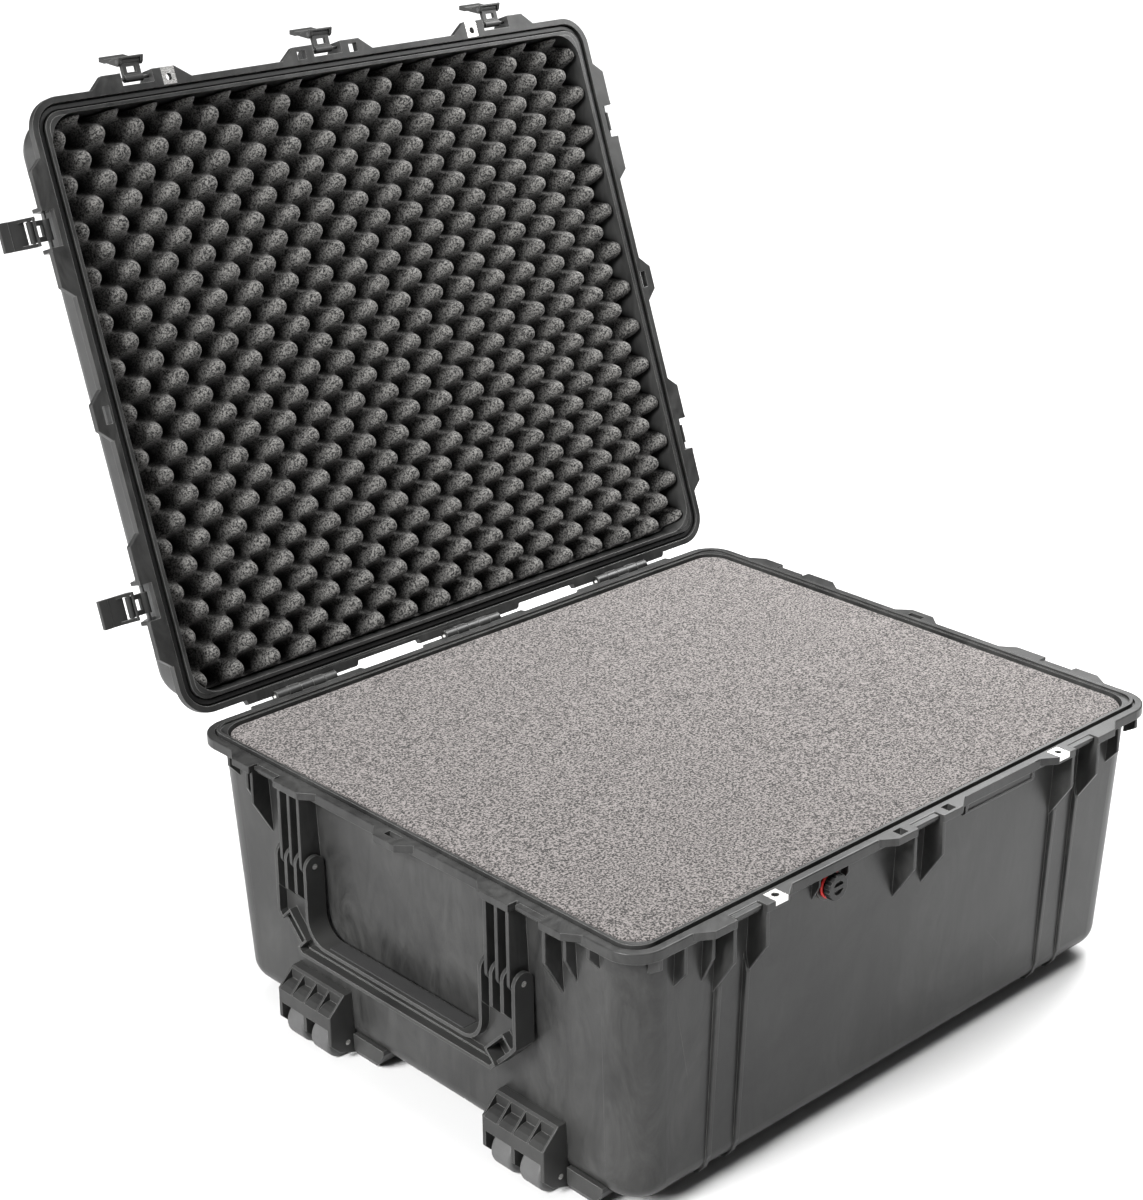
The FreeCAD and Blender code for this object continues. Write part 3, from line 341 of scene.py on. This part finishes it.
def convoluted_foam(material):
    """The lid's foam: a flat back, cut sides and a face of staggered rounded bumps."""
    low, high = shut_lid_box("lid_foam")
    columns = round((high.x - low.x) / FOAM_STEP)
    rows = round((high.y - low.y) / FOAM_STEP)
    made = bmesh.new()
    bmesh.ops.create_grid(made, x_segments=columns, y_segments=rows, size=0.5)
    layer = made.verts.layers.float.new(HEIGHT_LAYER)
    for vert in made.verts:
        x = low.x + (vert.co.x + 0.5) * (high.x - low.x)
        y = low.y + (vert.co.y + 0.5) * (high.y - low.y)
        unevenness = noise.noise(Vector((x * 14, y * 14, 0))) * BUMP_UNEVENNESS
        vert[layer] = bump_height(x, y)
        vert.co = Vector((x, y, low.z + CROWN_GAP + (1 - vert[layer]) * BUMP_HEIGHT + unevenness))
    cut_corners(made, low, high, FOAM_CORNER_RADIUS)
    border = [edge for edge in made.edges if edge.is_boundary]
    walls = bmesh.ops.extrude_edge_only(made, edges=border)
    back = [item for item in walls["geom"] if isinstance(item, bmesh.types.BMVert)]
    for vert in back:
        vert.co.z = high.z
    rim = [edge for edge in made.edges if edge.is_boundary]
    bmesh.ops.edgeloop_fill(made, edges=rim)
    bmesh.ops.recalc_face_normals(made, faces=made.faces[:])
    made.transform(LID_OPENED)
    shown = mesh_object("lid_convoluted_foam", made, material)
    finish_foam(shown, "lid", "lid_foam")


def rounded_loop(half_x, half_y, radius, z):
    """Points round a rounded rectangle, always the same number of them."""
    points = []
    for index, (sx, sy) in enumerate(CORNERS):
        centre = Vector((sx * (half_x - radius), sy * (half_y - radius), z))
        for step in range(LOOP_CORNER_STEPS + 1):
            angle = (index + step / LOOP_CORNER_STEPS) * math.pi / 2
            points.append(centre + Vector((math.cos(angle), math.sin(angle), 0)) * radius)
        next_x, next_y = CORNERS[(index + 1) % 4]
        turn = (index + 1) * math.pi / 2
        target = Vector((next_x * (half_x - radius), next_y * (half_y - radius), z))
        target += Vector((math.cos(turn), math.sin(turn), 0)) * radius
        last = points[-1]
        points += [last.lerp(target, step / LOOP_SIDE_STEPS) for step in range(1, LOOP_SIDE_STEPS)]
    return points


def rounding(steps):
    """Depth and inset along a block's rounded edge, from the wall to the face."""
    radius = BLOCK_EDGE_RADIUS
    angles = [step / steps * math.pi / 2 for step in range(steps + 1)]
    return [(radius * (1 - math.sin(angle)), radius * (1 - math.cos(angle))) for angle in angles]


def block_sections(low_z, high_z, half_y):
    """Height and inset of each loop of a foam block, from the middle of its bottom to that of its top."""
    radius = BLOCK_EDGE_RADIUS
    wall = high_z - low_z - 2 * radius
    room = half_y - radius - BLOCK_FACE_CENTRE
    face = [radius + room * (step / FACE_LOOPS) ** 1.1 for step in range(1, FACE_LOOPS + 1)]
    sections = [(low_z, inset) for inset in reversed(face[::6])]
    sections += [(low_z + depth, inset) for depth, inset in reversed(rounding(6))]
    sections += [(low_z + radius + wall * step / 4, 0.0) for step in range(1, 4)]
    sections += [(high_z - depth, inset) for depth, inset in rounding(8)]
    return sections + [(high_z, inset) for inset in face]


def foam_block(node_name, material):
    """A plain block with softly rounded edges and a slightly uneven top."""
    low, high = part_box(node_name)
    half = (high - low) / 2
    taper = BLOCK_LEAN * (high.z - low.z)
    made = bmesh.new()
    rings = []
    for z, inset in block_sections(low.z, high.z, half.y):
        lean = taper * (high.z - z) / (high.z - low.z)
        corner = max(FOAM_CORNER_RADIUS - inset, BLOCK_LEAST_CORNER)
        points = rounded_loop(half.x - inset - lean, half.y - inset - lean, corner, z)
        rings.append([made.verts.new(point) for point in points])
    for lower, upper in zip(rings, rings[1:]):
        for index in range(len(lower)):
            following = (index + 1) % len(lower)
            made.faces.new((lower[index], lower[following], upper[following], upper[index]))
    made.faces.new(list(reversed(rings[0])))
    made.faces.new(rings[-1])
    for vert in made.verts:
        if vert.co.z > high.z - BLOCK_EDGE_RADIUS * 0.9:
            dip = 0.5 + 0.5 * noise.noise(vert.co * 7)
            vert.co.z -= dip * BLOCK_DIP
    bmesh.ops.recalc_face_normals(made, faces=made.faces[:])
    shown = mesh_object(node_name + "_soft", made, material)
    finish_foam(shown, "base", node_name)


# ---------------------------------------------------------------- stage

def floor_and_sky():
    mesh = bpy.data.meshes.new("floor")
    far = FLOOR_HALF
    mesh.from_pydata([(-far, -far, 0), (far, -far, 0), (far, far, 0), (-far, far, 0)], [], [(0, 1, 2, 3)])
    floor = bpy.data.objects.new("floor", mesh)
    bpy.context.scene.collection.objects.link(floor)
    mesh.materials.append(new_material("pale_floor", (FLOOR_GREY, FLOOR_GREY, FLOOR_GREY), 0.9)[0])

    world = bpy.data.worlds.new("studio")
    world.use_nodes = True
    background = world.node_tree.nodes["Background"]
    background.inputs["Color"].default_value = (1.0, 1.0, 1.0, 1)
    background.inputs["Strength"].default_value = SKY_STRENGTH
    bpy.context.scene.world = world
    bpy.context.scene.view_settings.view_transform = "Standard"


def lamp(name, kind, energy, toward):
    """A light of the given kind that shines from the direction toward which its back points."""
    light = bpy.data.lights.new(name, kind)
    light.energy = energy
    made = bpy.data.objects.new(name, light)
    made.rotation_euler = toward.to_track_quat("Z", "Y").to_euler()
    bpy.context.scene.collection.objects.link(made)
    return made


def lights():
    """Two wide suns light the floor evenly, and a lamp on the right brightens the foam on that side."""
    for name, (toward, width, strength) in SUNS.items():
        sun = lamp(name, "SUN", strength, Vector(toward))
        sun.data.angle = math.radians(width)
    side = lamp("side", "AREA", SIDE_LIGHT_POWER, SIDE_LIGHT_PLACE - SIDE_LIGHT_TARGET)
    side.data.size = SIDE_LIGHT_SIZE
    side.location = SIDE_LIGHT_PLACE


def camera():
    azimuth, elevation, roll = (math.radians(a) for a in (CAMERA_AZIMUTH, CAMERA_ELEVATION, CAMERA_ROLL))
    back = Vector((math.sin(azimuth) * math.cos(elevation), -math.cos(azimuth) * math.cos(elevation),
                   math.sin(elevation)))
    level = Vector((math.cos(azimuth), math.sin(azimuth), 0))
    upright = back.cross(level)
    right = level * math.cos(roll) + upright * math.sin(roll)
    up = back.cross(right)
    data = bpy.data.cameras.new("camera")
    data.lens = CAMERA_LENS
    data.sensor_width = 36
    data.shift_x, data.shift_y = CAMERA_SHIFT
    data.clip_end = 200
    made = bpy.data.objects.new("camera", data)
    made.matrix_world = Matrix.Translation(CAMERA_PLACE) @ Matrix((right, up, back)).transposed().to_4x4()
    bpy.context.scene.collection.objects.link(made)
    bpy.context.scene.camera = made


def main():
    camera()
    floor_and_sky()
    lights()
    materials = build_materials()
    dress(materials)
    convoluted_foam(materials["lid_foam"])
    for name in ("bottom_pad", "layer_lower", "layer_middle", "layer_upper"):
        foam_block("base_foam_" + name, materials["base_foam"])


main()
